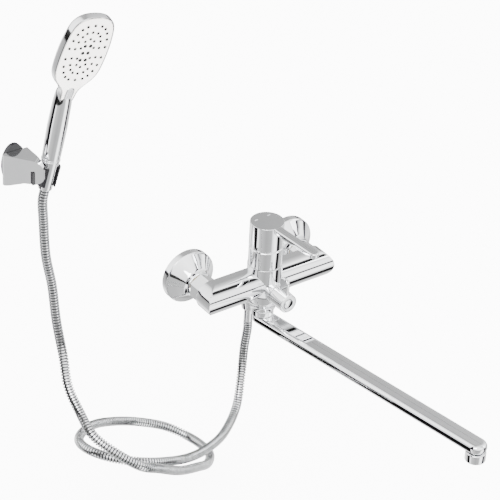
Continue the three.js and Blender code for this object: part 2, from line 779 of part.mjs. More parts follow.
// Handset: handle and head shell, face, nozzle mat, button and inlet.
function handset() {
  const front = headThickness / 2;
  const faceBack = front - faceThickness;
  const bevel = 5;
  const shellOptions = {
    bevelEnabled: true,
    bevelThickness: bevel,
    bevelSize: bevel,
    bevelOffset: -bevel,
    bevelSegments: 3,
    curveSegments: 5,
  };
  const faceOptions = {
    bevelEnabled: true,
    bevelThickness: 0.9,
    bevelSize: 1.6,
    bevelOffset: -1.6,
    bevelSegments: 2,
    curveSegments: 5,
  };
  const buttonOptions = { ...faceOptions, bevelThickness: 1, bevelSize: 1, bevelOffset: -1 };

  const handle = placeHandset(turnedUp([
    [0, 0],
    [handleRadius - 0.8, 0],
    [handleRadius - 0.4, 0.6],
    [handleRadius + 0.6, handleLength * 0.5],
    [handleRadius - 0.4, handleLength],
    [handleRadius - 3, handleLength + 3],
    [0, handleLength + 3],
  ], 0, 0, smooth));
  const slab = prism(headShape(0), headThickness - bevel - 1, shellOptions);
  slab.translate(0, 0, bevel - front);
  const trim = block(-headLength, -headLength, front, headLength, 2 * headLength, front + 30);
  const cavity = prism(headShape(faceMargin - 2 * clearance), headThickness);
  cavity.translate(0, 0, faceBack - 5);
  const bore = placeHandset(turnedUp(rod(handleBore, -1, handleLength - 2), 0, 0, coarse));
  const shell = cut(join(placeHead(slab), handle), placeHead(trim), placeHead(cavity), bore);
  piece('handset_shell', shell, 'chrome');

  const upright = (geometry) => geometry.rotateZ(Math.PI / 2);
  const buttonRadius = buttonWidth / 2;
  const buttonEnds = [buttonLow + buttonRadius, buttonLow + buttonLength - buttonRadius];
  const hole = upright(prism(slotShape(...buttonEnds, buttonRadius + clearance), 20));
  hole.translate(0, 0, faceBack - 6);
  const plate = prism(headShape(faceMargin), faceThickness - 0.9, faceOptions);
  plate.translate(0, 0, faceBack);
  const plateTrim = block(-headLength, -headLength, faceBack - 5, headLength, 2 * headLength, faceBack);
  const face = cut(placeHead(plate), placeHead(plateTrim), placeHead(hole));
  piece('spray_face', face, 'whitePlastic');

  const matHalf = headWidth / 2 - 8.5;
  const matLow = 32;
  const matHigh = headLength - 14;
  const matMiddle = (matLow + matHigh) / 2 + 1;
  const mat = new THREE.Shape();
  mat.moveTo(-matHalf, matLow);
  mat.lineTo(matHalf, matLow);
  mat.quadraticCurveTo(matHalf + 4, matMiddle, matHalf - 2, matHigh);
  mat.lineTo(2 - matHalf, matHigh);
  mat.quadraticCurveTo(-matHalf - 4, matMiddle, -matHalf, matLow);
  const matSolid = prism(mat, matThickness).translate(0, 0, faceBack - clearance - matThickness);
  piece('nozzle_mat', placeHead(matSolid), 'rubber');

  const buttonBack = faceBack - 1.8;
  const button = prism(slotShape(...buttonEnds, buttonRadius), front + 0.2 - buttonBack, buttonOptions);
  piece('spray_button', placeHead(upright(button).translate(0, 0, buttonBack + 1)), 'chrome');

  const inlet = ring(4.5, handleBore - clearance, seatHeight, 12);
  piece('handset_inlet', placeHandset(turnedUp(inlet, 0, 0, coarse)), 'brass');
}

// The hose's cone nut and gasket, which screw onto the handset and sit in the cup.
function coneNut() {
  const bottom = -coneLength - ferruleLength;
  piece('hose_cone_nut', placeHandset(turnedUp([
    [hoseBore, bottom],
    [ferruleRadius, bottom],
    [ferruleRadius, -coneLength],
    [coneBottomRadius - 0.5, -coneLength],
    [coneBottomRadius, 0.8 - coneLength],
    [coneTopRadius, -clearance - 1],
    [coneTopRadius - 0.6, -clearance],
    [handleBore, -clearance],
    [handleBore, seatHeight - 3],
    [hoseBore, seatHeight - 4],
    [hoseBore, bottom],
  ], 0, 0, smooth)), 'chrome');
  const gasket = ring(4.5, handleBore - clearance, seatHeight - 2.5, seatHeight - clearance);
  piece('handset_gasket', placeHandset(turnedUp(gasket, 0, 0, coarse)), 'rubber');
}

// Radius of the hose cone at a height below the handle's foot.
function coneRadius(height) {
  const share = (height + coneLength) / coneLength;
  return coneBottomRadius + share * (coneTopRadius - coneBottomRadius);
}

// Slotted cup that holds the cone, on an arm that enters the bracket's body.
function bracketCup() {
  const cupBottom = cupTop - cupLength;
  const topInside = coneRadius(cupTop) + clearance;
  const bottomInside = coneRadius(cupBottom) + clearance;
  const wall = placeHandset(turnedUp([
    [bottomInside, cupBottom],
    [bottomInside + cupWall - 0.6, cupBottom],
    [bottomInside + cupWall, cupBottom + 0.6],
    [topInside + cupWall, cupTop],
    [topInside, cupTop],
    [bottomInside, cupBottom],
  ], 0, 0, smooth));
  const arm = block(
    wedgeRight - armInset, handsetFoot.y - armHalfWidth, armBottom,
    handsetFoot.x - 10, handsetFoot.y + armHalfWidth, armTop,
  );
  const coneSpace = placeHandset(turnedUp([
    [0, -60],
    [bottomInside, -60],
    [bottomInside, cupBottom],
    [topInside, cupTop],
    [topInside, 60],
    [0, 60],
  ], 0, 0, smooth));
  const slot = placeHandset(block(-cupSlot / 2, -30, cupBottom - 1, cupSlot / 2, 0, cupTop + 1));
  piece('bracket_cup', cut(join(wall, cut(arm, coneSpace)), slot), 'blackPlastic');
}

// Wedge-shaped body whose slanted face is a D lying on its side.
function bracketBody() {
  const back = -plateThickness - clearance;
  const edge = -plateThickness - wedgeBase;
  const plan = new THREE.Shape();
  plan.moveTo(wedgeLeft, back);
  plan.lineTo(wedgeLeft, edge);
  plan.lineTo(wedgeRight - 3, wedgeFront);
  plan.quadraticCurveTo(wedgeRight, wedgeFront, wedgeRight, wedgeFront + 3);
  plan.lineTo(wedgeRight, back);
  plan.closePath();
  const wedge = prism(plan, bracketTop - bracketBottom + 10, { curveSegments: 6 });
  wedge.translate(0, 0, bracketBottom - 10);

  const faceAngle = Math.atan2(wedgeFront - edge, wedgeRight - wedgeLeft);
  const round = 15;
  const side = new THREE.Shape();
  side.moveTo(-40, bracketBottom - 2);
  side.quadraticCurveTo(-8, bracketBottom - 9, 8, bracketBottom - 3);
  side.lineTo(24, bracketBottom + 3);
  side.absarc(34, bracketTop - round, round, -Math.PI / 2, Math.PI / 2, false);
  side.lineTo(-40, bracketTop);
  side.closePath();
  const dFace = prism(side, 160).rotateX(Math.PI / 2).translate(0, 80, 0);
  dFace.rotateZ(faceAngle).translate(wedgeLeft, edge, 0);

  const armHole = block(
    wedgeRight - armInset - clearance,
    handsetFoot.y - armHalfWidth - clearance,
    armBottom - clearance,
    wedgeRight + 1,
    handsetFoot.y + armHalfWidth + clearance,
    armTop + clearance,
  );
  const headHole = rod(bracketScrewHead + 0.4, back - bracketScrewHeight - 0.4, 1);
  const screwHoles = bracketScrews.map(([x, z]) => turnedOut(headHole, x, z, coarse));
  piece('bracket_body', cut(common(wedge, dFace), armHole, ...screwHoles), 'chrome');
}

// Back plate and the screws that hold it.
function bracketPlate() {
  const middle = (wedgeLeft + wedgeRight) / 2;
  const outline = new THREE.Shape();
  outline.absellipse(middle, 0, plateWidth / 2, plateHeight / 2, 0, Math.PI * 2, false);
  const plate = prism(outline, plateThickness, { curveSegments: 14 });
  plate.rotateX(Math.PI / 2).translate(0, 0, (bracketTop + bracketBottom) / 2 - 1);
  const holeShape = rod(bracketScrewRadius + 0.45, -20, 5);
  const holes = bracketScrews.map(([x, z]) => turnedOut(holeShape, x, z, coarse));
  piece('bracket_wall_plate', cut(plate, ...holes), 'blackPlastic');

  const headBack = -plateThickness - clearance;
  const screw = [
    [0, 0],
    [bracketScrewRadius, 0],
    [bracketScrewRadius, headBack],
    [bracketScrewHead, headBack],
    [bracketScrewHead, headBack - bracketScrewHeight],
    [0, headBack - bracketScrewHeight],
  ];
  bracketScrews.forEach(([x, z], index) => {
    piece(`bracket_screw_${index + 1}`, turnedOut(screw, x, z, coarse), 'steel');
  });
}

inletSet('left', -inletSpacing / 2);
inletSet('right', inletSpacing / 2);
piece('mixer_body', mixerBody(), 'chrome');
cartridge();
cartridgeCover();
lever();
diverter();
spout();
showerOutlet();
showerHose();
handset();
coneNut();
bracketCup();
bracketBody();
bracketPlate();

export default group;
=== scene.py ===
import json
import math

import bmesh
import bpy
from mathutils import Matrix, Vector
from mathutils.geometry import interpolate_bezier


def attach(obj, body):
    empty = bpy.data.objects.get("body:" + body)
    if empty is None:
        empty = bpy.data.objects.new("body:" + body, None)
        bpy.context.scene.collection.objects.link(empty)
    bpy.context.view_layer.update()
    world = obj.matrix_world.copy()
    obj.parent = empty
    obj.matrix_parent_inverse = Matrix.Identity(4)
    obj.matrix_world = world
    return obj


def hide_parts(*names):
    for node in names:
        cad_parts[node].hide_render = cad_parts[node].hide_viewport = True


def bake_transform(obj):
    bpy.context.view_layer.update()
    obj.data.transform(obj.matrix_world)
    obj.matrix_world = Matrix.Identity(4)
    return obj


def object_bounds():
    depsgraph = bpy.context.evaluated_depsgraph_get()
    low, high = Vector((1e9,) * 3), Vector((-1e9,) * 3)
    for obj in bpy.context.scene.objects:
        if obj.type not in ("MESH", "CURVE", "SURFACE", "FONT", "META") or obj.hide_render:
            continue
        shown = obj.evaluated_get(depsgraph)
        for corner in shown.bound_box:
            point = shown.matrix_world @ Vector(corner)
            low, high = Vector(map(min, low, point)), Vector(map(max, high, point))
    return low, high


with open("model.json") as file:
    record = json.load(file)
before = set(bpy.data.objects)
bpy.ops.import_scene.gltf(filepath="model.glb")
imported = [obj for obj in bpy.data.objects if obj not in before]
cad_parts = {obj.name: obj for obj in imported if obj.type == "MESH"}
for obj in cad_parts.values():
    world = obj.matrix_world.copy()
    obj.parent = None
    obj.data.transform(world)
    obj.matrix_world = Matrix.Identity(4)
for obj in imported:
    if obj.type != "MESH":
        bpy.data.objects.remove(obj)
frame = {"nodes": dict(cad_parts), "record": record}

cadBounds = [list(corner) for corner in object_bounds()]
scene = bpy.context.scene
mm = 0.001
outletY = -33
print("frame loaded")

# Camera: a long lens, to the left of the mixer and above it
cameraSettings = {
    "azimuth": -36.697, "elevation": 32.858, "roll": 3.089,
    "place": (-1.374, -1.873, 1.511), "lens": 159.3, "sensor": 36.0,
}


def addCamera(settings):
    azimuth = math.radians(settings["azimuth"])
    elevation = math.radians(settings["elevation"])
    roll = math.radians(settings["roll"])
    back = Vector((
        math.sin(azimuth) * math.cos(elevation),
        -math.cos(azimuth) * math.cos(elevation),
        math.sin(elevation),
    ))
    level = Vector((math.cos(azimuth), math.sin(azimuth), 0))
    upright = back.cross(level)
    right = level * math.cos(roll) + upright * math.sin(roll)
    up = upright * math.cos(roll) - level * math.sin(roll)
    data = bpy.data.cameras.new("studioCamera")
    data.lens = settings["lens"]
    data.sensor_width = settings["sensor"]
    data.clip_end = 30
    camera = bpy.data.objects.new("studioCamera", data)
    turn = Matrix((right, up, back)).transposed().to_4x4()
    camera.matrix_world = Matrix.Translation(settings["place"]) @ turn
    scene.collection.objects.link(camera)
    scene.camera = camera


addCamera(cameraSettings)
print("camera placed")


# Materials
def nodeMaterial(name):
    material = bpy.data.materials.new(name)
    material.use_nodes = True
    nodes = material.node_tree.nodes
    links = material.node_tree.links
    shader = nodes["Principled BSDF"]
    coordinates = nodes.new("ShaderNodeTexCoord")
    return material, nodes, links, shader, coordinates


def noiseFrom(nodes, links, coordinates, scale, detail=3.0):
    noise = nodes.new("ShaderNodeTexNoise")
    noise.inputs["Scale"].default_value = scale
    noise.inputs["Detail"].default_value = detail
    links.new(coordinates.outputs["Object"], noise.inputs["Vector"])
    return noise


def spread(nodes, links, source, low, high, target):
    ranged = nodes.new("ShaderNodeMapRange")
    ranged.inputs["From Min"].default_value = 0.3
    ranged.inputs["From Max"].default_value = 0.7
    ranged.inputs["To Min"].default_value = low
    ranged.inputs["To Max"].default_value = high
    links.new(source, ranged.inputs["Value"])
    links.new(ranged.outputs["Result"], target)


def tinted(nodes, links, source, dark, light, target):
    ramp = nodes.new("ShaderNodeValToRGB")
    ramp.color_ramp.elements[0].position = 0.3
    ramp.color_ramp.elements[1].position = 0.7
    ramp.color_ramp.elements[0].color = (*dark, 1)
    ramp.color_ramp.elements[1].color = (*light, 1)
    links.new(source, ramp.inputs["Fac"])
    links.new(ramp.outputs["Color"], target)


def bumped(nodes, links, source, shader, strength, depth):
    bump = nodes.new("ShaderNodeBump")
    bump.inputs["Strength"].default_value = strength
    bump.inputs["Distance"].default_value = depth
    links.new(source, bump.inputs["Height"])
    links.new(bump.outputs["Normal"], shader.inputs["Normal"])


def makeFinish(name, settings):
    material, nodes, links, shader, coordinates = nodeMaterial(name)
    shader.inputs["Metallic"].default_value = settings.get("metallic", 0)
    shader.inputs["Coat Weight"].default_value = settings.get("coat", 0)
    shader.inputs["Specular IOR Level"].default_value = settings.get("specular", 0.5)
    shader.inputs["Coat Roughness"].default_value = settings.get("coatRoughness", 0.05)
    cloud = noiseFrom(nodes, links, coordinates, settings["cloudScale"])
    colour = shader.inputs["Base Color"]
    tinted(nodes, links, cloud.outputs["Fac"], settings["dark"], settings["light"], colour)
    low, high = settings["roughness"]
    spread(nodes, links, cloud.outputs["Fac"], low, high, shader.inputs["Roughness"])
    grain = noiseFrom(nodes, links, coordinates, settings["grainScale"], 2.0)
    bumped(nodes, links, grain.outputs["Fac"], shader, settings["grain"], settings["grainDepth"])
    return material


finishSettings = {
    "chrome": {
        "metallic": 1, "dark": (0.86, 0.87, 0.885), "light": (0.93, 0.935, 0.945), "roughness": (0.025, 0.06),
        "cloudScale": 30, "grainScale": 45, "grain": 0.04, "grainDepth": 0.0002,
    },
    "brass": {
        "metallic": 1, "dark": (0.55, 0.40, 0.18), "light": (0.78, 0.61, 0.32), "roughness": (0.25, 0.45),
        "cloudScale": 60, "grainScale": 900, "grain": 0.2, "grainDepth": 0.0002,
    },
    "steel": {
        "metallic": 1, "dark": (0.50, 0.51, 0.52), "light": (0.68, 0.69, 0.70), "roughness": (0.2, 0.35),
        "cloudScale": 90, "grainScale": 1200, "grain": 0.15, "grainDepth": 0.0001,
    },
    "steel_hose": {
        "metallic": 1, "dark": (0.62, 0.63, 0.64), "light": (0.76, 0.765, 0.77), "roughness": (0.14, 0.24),
        "cloudScale": 120, "grainScale": 1500, "grain": 0.08, "grainDepth": 0.0001,
    },
    # painted shade: near-black metal for the hose's rib valleys, standing in for the shade between the ribs
    "hose_valley_painted_shade": {
        "metallic": 1, "dark": (0.05, 0.05, 0.052), "light": (0.10, 0.10, 0.102), "roughness": (0.35, 0.5),
        "cloudScale": 120, "grainScale": 1500, "grain": 0.1, "grainDepth": 0.0001,
    },
    "rubber": {
        "dark": (0.004, 0.004, 0.004), "light": (0.010, 0.010, 0.011), "roughness": (0.55, 0.75),
        "specular": 0.15,
        "cloudScale": 100, "grainScale": 2500, "grain": 0.3, "grainDepth": 0.0002,
    },
    "ceramic": {
        "dark": (0.80, 0.78, 0.74), "light": (0.90, 0.88, 0.84), "roughness": (0.15, 0.3),
        "cloudScale": 80, "grainScale": 2000, "grain": 0.05, "grainDepth": 0.0001,
    },
    "white_plastic": {
        "dark": (0.56, 0.535, 0.51), "light": (0.62, 0.60, 0.58), "roughness": (0.22, 0.34), "coat": 0.15,
        "cloudScale": 35, "grainScale": 1800, "grain": 0.08, "grainDepth": 0.0001,
    },
    "grey_plastic": {
        "dark": (0.30, 0.31, 0.32), "light": (0.42, 0.43, 0.44), "roughness": (0.4, 0.55),
        "cloudScale": 70, "grainScale": 1800, "grain": 0.2, "grainDepth": 0.0002,
    },
    "black_plastic": {
        "dark": (0.003, 0.003, 0.004), "light": (0.008, 0.008, 0.009), "roughness": (0.12, 0.22),
        "specular": 0.4,
        "cloudScale": 60, "grainScale": 1600, "grain": 0.1, "grainDepth": 0.0001,
    },
}
finishes = {name: makeFinish(name + "Finish", settings) for name, settings in finishSettings.items()}
for part in frame["record"]["subparts"]:
    node = frame["nodes"][part["node"]]
    node.data.materials.clear()
    node.data.materials.append(finishes[part["material_slot"]])
print("finishes made:", len(finishes))


# Shared shaping
def rounded(points, radius, steps=4):
    outline = [Vector(points[0])]
    for before, corner, after in zip(points, points[1:], points[2:]):
        corner = Vector(corner)
        toBefore = Vector(before) - corner
        toAfter = Vector(after) - corner
        reach = min(radius, toBefore.length * 0.45, toAfter.length * 0.45)
        first = corner + toBefore.normalized() * reach
        last = corner + toAfter.normalized() * reach
        for step in range(steps + 1):
            t = step / steps
            outline.append(first * (1 - t) ** 2 + corner * 2 * t * (1 - t) + last * t * t)
    outline.append(Vector(points[-1]))
    return outline


def spin(bm, outline, steps=96):
    verts = [bm.verts.new((radius, 0, along)) for radius, along in outline]
    edges = [bm.edges.new(pair) for pair in zip(verts, verts[1:])]
    bmesh.ops.spin(
        bm, geom=verts + edges, cent=(0, 0, 0), axis=(0, 0, 1), angle=math.tau, steps=steps, use_merge=True,
    )
    bmesh.ops.remove_doubles(bm, verts=bm.verts, dist=0.001)
    bmesh.ops.recalc_face_normals(bm, faces=bm.faces)


def roundedBlock(bm, size, centre, upright=0, edge=0, segments=8):
    made = bmesh.ops.create_cube(bm, size=1)["verts"]
    bmesh.ops.scale(bm, vec=size, verts=made)
    bmesh.ops.translate(bm, vec=centre, verts=made)
    edges = {e for v in made for e in v.link_edges}
    if upright:
        standing = [e for e in edges if abs(e.verts[0].co.z - e.verts[1].co.z) > 1e-6]
        bmesh.ops.bevel(
            bm, geom=standing, offset=upright, affect="EDGES", segments=segments * 2, profile=0.5,
            material=-1,
        )
    if edge:
        level = [e for e in bm.edges if abs(e.verts[0].co.z - e.verts[1].co.z) < 1e-6]
        flat = [e for e in level if e.calc_face_angle(0) > 0.5]
        bmesh.ops.bevel(
            bm, geom=flat, offset=edge, affect="EDGES", segments=segments, profile=0.5, material=-1,
        )


def finished(name, bm, body, slot, nodes=(), place=Matrix(), sharp=40, weighted=False):
    bm.transform(Matrix.Scale(mm, 4) @ place)
    mesh = bpy.data.meshes.new(name)
    bm.to_mesh(mesh)
    bm.free()
    return asPiece(name, mesh, body, slot, nodes, sharp, weighted)


def asPiece(name, mesh, body, slot, nodes=(), sharp=40, weighted=False):
    for polygon in mesh.polygons:
        polygon.use_smooth = True
    mesh.set_sharp_from_angle(angle=math.radians(sharp))
    mesh.materials.append(finishes[slot])
    piece = bpy.data.objects.new(name, mesh)
    scene.collection.objects.link(piece)
    if weighted:
        weights = piece.modifiers.new("evenNormals", "WEIGHTED_NORMAL")
        weights.keep_sharp = True
    if body:
        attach(piece, body)
    if nodes:
        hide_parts(*nodes)
    return piece


def turnedPiece(name, outline, body, slot, nodes=(), place=Matrix(), radius=0.5, steps=96, corner=4):
    bm = bmesh.new()
    spin(bm, rounded(outline, radius, corner), steps)
    return finished(name, bm, body, slot, nodes, place)


def upAt(x, y):
    return Matrix.Translation((x, y, 0))


def outAt(x, z):
    return Matrix.Translation((x, 0, z)) @ Matrix.Rotation(-math.pi / 2, 4, "X")


def closedOutline(outline):
    return outline + [outline[0]]


bodyAxis = -61.4
handset = {"foot": (-285, -30, 243), "lean": 12.2, "bend": 14, "handle": 80}
handsetPlace = Matrix.Translation(handset["foot"]) @ Matrix.Rotation(math.radians(handset["lean"]), 4, "Y")
headPlace = (
    handsetPlace @ Matrix.Translation((0, 0, handset["handle"]))
    @ Matrix.Rotation(math.radians(90 + handset["bend"]), 4, "X")
)

# Shower hose: ribbed steel along the same route as the frame's tube, with painted shade in the valleys
# between the ribs
hose = {
    "radius": 5.8, "valley": 4.3, "pitch": 3.5, "sides": 20, "start": (0, outletY, -78.35),
    "coneLength": 39.35, "lead": 12,
    "route": [
        (-5, -35, -115), (-15, -45, -150), (-35, -65, -180), (-70, -90, -190),
        (-110, -115, -180), (-150, -135, -165), (-190, -150, -145), (-230, -150, -130),
        (-260, -130, -125), (-275, -105, -125), (-275, -80, -130), (-260, -55, -140),
        (-230, -35, -150), (-190, -20, -170), (-150, -15, -190), (-115, -25, -205),
        (-95, -45, -215), (-90, -70, -215), (-95, -95, -210), (-115, -120, -200),
        (-145, -140, -180), (-185, -160, -155), (-225, -175, -125), (-255, -180, -105),
        (-280, -165, -85), (-295, -140, -70), (-295, -110, -55), (-295, -85, -35),
        (-290, -65, -5), (-290, -50, 35), (-290, -40, 80), (-295, -35, 120),
        (-295, -30, 165),
    ],
}


def throughPoints(points, steps):
    # centripetal Catmull-Rom, as the frame's tube
    ends = [points[0] * 2 - points[1]] + points + [points[-1] * 2 - points[-2]]
    line = []
    for p0, p1, p2, p3 in zip(ends, ends[1:], ends[2:], ends[3:]):
        t1 = (p1 - p0).length ** 0.5
        t2 = t1 + (p2 - p1).length ** 0.5
        t3 = t2 + (p3 - p2).length ** 0.5
        for step in range(steps):
            t = t1 + (t2 - t1) * step / steps
            a1 = p0 * ((t1 - t) / t1) + p1 * (t / t1)
            a2 = p1 * ((t2 - t) / (t2 - t1)) + p2 * ((t - t1) / (t2 - t1))
            a3 = p2 * ((t3 - t) / (t3 - t2)) + p3 * ((t - t2) / (t3 - t2))
            b1 = a1 * ((t2 - t) / t2) + a2 * (t / t2)
            b2 = a2 * ((t3 - t) / (t3 - t1)) + a3 * ((t - t1) / (t3 - t1))
            line.append(b1 * ((t2 - t) / (t2 - t1)) + b2 * ((t - t1) / (t2 - t1)))
    line.append(points[-1].copy())
    return line


def bendAlong(bm, line):
    # each ring of the straight tube moves to its place on the line
    lengths = [0.0]
    for a, b in zip(line, line[1:]):
        lengths.append(lengths[-1] + (b - a).length)
    forward = [(b - a).normalized() for a, b in zip(line, line[1:])]
    forward.append(forward[-1])
    sideways = [forward[0].orthogonal().normalized()]
    for direction in forward[1:]:
        side = sideways[-1] - direction * sideways[-1].dot(direction)
        sideways.append(side.normalized())
    spot = 0
    for vert in sorted(bm.verts, key=lambda v: v.co.z):
        while spot < len(line) - 2 and lengths[spot + 1] < vert.co.z:
            spot += 1
        share = (vert.co.z - lengths[spot]) / (lengths[spot + 1] - lengths[spot])
        centre = line[spot].lerp(line[spot + 1], share)
        direction = forward[spot].lerp(forward[min(spot + 1, len(line) - 1)], share).normalized()
        side = sideways[spot].lerp(sideways[min(spot + 1, len(line) - 1)], share)
        side = (side - direction * side.dot(direction)).normalized()
        vert.co = centre + side * vert.co.x + direction.cross(side) * vert.co.y


def makeHoseEnds():
    nut = turnedPiece("hoseNutShell", closedOutline([
        (6, -58), (8.3, -58), (8.9, -57), (10.6, -46), (10.6, -40.4), (8.6, -40.4), (8.6, -54.0), (6, -54.2),
    ]), "mixer", "chrome", ["hose_nut"], upAt(0, outletY), radius=0.6)
    ferrule = turnedPiece("hoseFerruleShell", closedOutline([
        (3.4, -78), (5.2, -78), (5.6, -77.4), (5.6, -54.0), (8.1, -53.9), (8.1, -52.8), (3.4, -52.8),
    ]), "mixer", "chrome", ["hose_ferrule"], upAt(0, outletY), radius=0.4)
    coneNut = turnedPiece("coneNutShell", closedOutline([
        (3.4, -39), (5.5, -39), (5.6, -37), (7.6, -37), (8, -36.2), (10.6, -1.4), (10.1, -0.35), (7.5, -0.35),
        (7.5, -18), (3.4, -19),
    ]), "handset", "chrome", ["hose_cone_nut"], handsetPlace, radius=0.5)
    return [nut, ferrule, coneNut, "hose_gasket", "handset_gasket"]


def makeHose(settings):
    start = Vector(settings["start"])
    axis = (handsetPlace.to_3x3() @ Vector((0, 0, 1))).normalized()
    end = Vector(handset["foot"]) - axis * settings["coneLength"]
    points = [start, start - Vector((0, 0, settings["lead"]))]
    points += [Vector(point) for point in settings["route"]]
    points += [end - axis * settings["lead"], end]
    line = throughPoints(points, 16)
    length = sum((b - a).length for a, b in zip(line, line[1:]))
    ribs = int(length / settings["pitch"])
    pitch = length / ribs
    outline = [(0, 0), (settings["valley"], 0)]
    for rib in range(ribs):
        for share, radius in ((0.12, "valley"), (0.2, "radius"), (0.72, "radius"), (0.8, "valley")):
            outline.append((settings[radius], (rib + share) * pitch))
    outline += [(settings["valley"], length), (0, length)]
    bm = bmesh.new()
    spin(bm, outline, settings["sides"])
    middle = (settings["valley"] + settings["radius"]) / 2
    # faces down in the valleys get the darker painted-shade finish in slot 1
    for face in bm.faces:
        if face.verts[0].co.xy.length < middle and face.verts[2].co.xy.length < middle:
            face.material_index = 1
    bendAlong(bm, line)
    bmesh.ops.recalc_face_normals(bm, faces=bm.faces)
    piece = finished("ribbedHose", bm, None, "steel_hose", ["shower_hose"], sharp=50)
    # slot 1: the painted shade for the rib valleys
    piece.data.materials.append(finishes["hose_valley_painted_shade"])
    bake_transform(piece)
    print("hose length", round(length * mm, 3))


hoseEnds = makeHoseEnds()
print("hose ends made")
makeHose(hose)


# Rosettes
def makeRosettes():
    rosette = {"radius": 35, "rim": 10, "neck": 17.3, "depth": 29.5, "wall": 1.8}
    r = rosette["radius"]
    outline = closedOutline([
        (r - 5.4, 0), (r - 0.3, 0), (r, -0.6), (r, 0.6 - rosette["rim"]), (r - 1.4, -rosette["rim"] - 0.2),
        (r * 0.72, -18.3), (rosette["neck"] + 1.6, -25.1), (rosette["neck"], -29.2),
        (rosette["neck"] - 0.3, -rosette["depth"]), (rosette["neck"] - 3.6, -rosette["depth"]),
        (rosette["neck"] - 3.6, -27.7), (rosette["neck"] - 0.6, -24.2), (r * 0.68, -16.5), (r - 5.4, -8.4),
    ])
    for side, x in (("left", -75), ("right", 75)):
        turnedPiece(
            side + "RosetteShell", outline, "mixer", "chrome", [side + "_rosette"], outAt(x, 0),
            radius=2.2, steps=128,
        )


makeRosettes()
print("rosettes made")


def joined(bm, other, place=Matrix()):
    # a second closed shell in the same piece
    other.transform(place)
    bmesh.ops.recalc_face_normals(other, faces=other.faces)
    mesh = bpy.data.meshes.new("shell")
    other.to_mesh(mesh)
    other.free()
    bm.from_mesh(mesh)
    bpy.data.meshes.remove(mesh)


def turnedShell(bm, outline, place, radius, steps=96):
    shell = bmesh.new()
    spin(shell, rounded(outline, radius, 5), steps)
    joined(bm, shell, place)


def barLoops(bm, casting):
    # a D section whose height follows the half-round ends
    bar = casting["bar"]
    half = casting["half"]
    angles = [step * math.pi / 40 for step in range(1, 20)]
    spots = [(-half - bar * math.cos(a), bar * math.sin(a)) for a in angles]
    spots += [(-half, bar), (half, bar)]
    spots += [(half + bar * math.cos(a), bar * math.sin(a)) for a in reversed(angles)]
    rings = []
    for x, reach in spots:
        section = [(casting["back"], reach - 1), (casting["back"], 1 - reach), (casting["back"] - 1, -reach)]
        for step in range(49):
            angle = -math.pi / 2 - step * math.pi / 48
            z = bar * math.sin(angle)
            section.append((bodyAxis + bar * math.cos(angle), max(-reach, min(reach, z))))
        section.append((casting["back"] - 1, reach))
        verts = [bm.verts.new((x, y, z)) for y, z in section]
        rings.append([bm.edges.new(pair) for pair in zip(verts, verts[1:] + verts[:1])])
    for first, second in zip(rings, rings[1:]):
        bmesh.ops.bridge_loops(bm, edges=first + second)
    bmesh.ops.edgeloop_fill(bm, edges=rings[0])
    bmesh.ops.edgeloop_fill(bm, edges=rings[-1])
    bmesh.ops.recalc_face_normals(bm, faces=bm.faces)


def makeBody():
    casting = {
        "back": -51.2, "half": 75, "bar": 19.4, "neck": 21.8, "neckTop": 26.2, "boss": 13.2,
    }
    neck = casting["neck"]
    boss = casting["boss"]
    bm = bmesh.new()
    barLoops(bm, casting)
    axis = upAt(0, bodyAxis)
    turnedShell(bm, [(0, -19), (neck, -19), (neck, casting["neckTop"]), (0, casting["neckTop"])], axis, 0.8)
    turnedShell(bm, [
        (0, -40), (15.9, -40), (16.6, -36), (18.4, -31.5), (24.6, -24), (27, -20), (27, -12), (23, -2),
        (0, -2),
    ], axis, 2.5)
    turnedShell(bm, [(0, -61), (boss, -61), (boss, -90), (0, -90)], outAt(0, -6), 0.8)
    turnedShell(bm, [(0, -12), (11.5, -12), (11.5, -40), (0, -40)], upAt(0, outletY), 0.8)
    finished("mixerCasting", bm, "mixer", "chrome", ["mixer_body"], sharp=28)


makeBody()
print("body made")


def sphereHeight(sphere, radius):
    return 30 + math.sqrt(sphere * sphere - radius * radius)


def makeCoverAndLever():
    cover = {"radius": 21.1, "low": 26.55, "sphere": 29.3, "hole": 13.5, "wall": 1.4}
    steps = [cover["radius"] + t * (cover["hole"] - cover["radius"]) / 12 for t in range(13)]
    outline = [(19.9, cover["low"]), (cover["radius"], cover["low"])]
    outline += [(r, sphereHeight(cover["sphere"], r)) for r in steps]
    outline += [(cover["hole"], 53.5), (19.7, 49.6), (19.9, cover["low"])]
    turnedPiece("coverShell", outline, "mixer", "chrome", ["cartridge_cover"], upAt(0, bodyAxis), radius=0.4)

    lever = {"turn": 5, "reach": 92, "width": 12.2, "thickness": 7.4, "top": 86, "radius": 21.3, "low": 52.5}
    place = upAt(0, bodyAxis) @ Matrix.Rotation(math.radians(lever["turn"]), 4, "Z")
    hollow = [(19.3 * t / 8, sphereHeight(29.75, 19.3 * t / 8)) for t in range(9)]
    cap = [(0, lever["top"]), (lever["radius"] - 0.1, lever["top"]), (lever["radius"], lever["low"])]
    cap += [(19.3, lever["low"])] + hollow[::-1]
    bm = bmesh.new()
    turnedShell(bm, cap, Matrix(), 0.9, 128)
    blade = bmesh.new()
    roundedBlock(
        blade, (lever["width"], lever["reach"], lever["thickness"]),
        (0, -lever["reach"] / 2, lever["top"] - lever["thickness"] / 2 - 0.06),
        upright=lever["width"] / 2 - 0.01, edge=2.2, segments=6,
    )
    joined(bm, blade)
    finished("leverHandle", bm, "lever", "chrome", ["lever"], place, sharp=28, weighted=True)

    # two plain index dashes let into the cap's top
    for name, x, y in (("hotDash", -10, 9), ("coldDash", 10, 9)):
        bm = bmesh.new()
        roundedBlock(bm, (4.6, 1.3, 0.16), (x, y, lever["top"] + 0.06), upright=0.6, edge=0.05, segments=3)
        finished(name, bm, "lever", "grey_plastic", (), place)


makeCoverAndLever()
print("lever made")


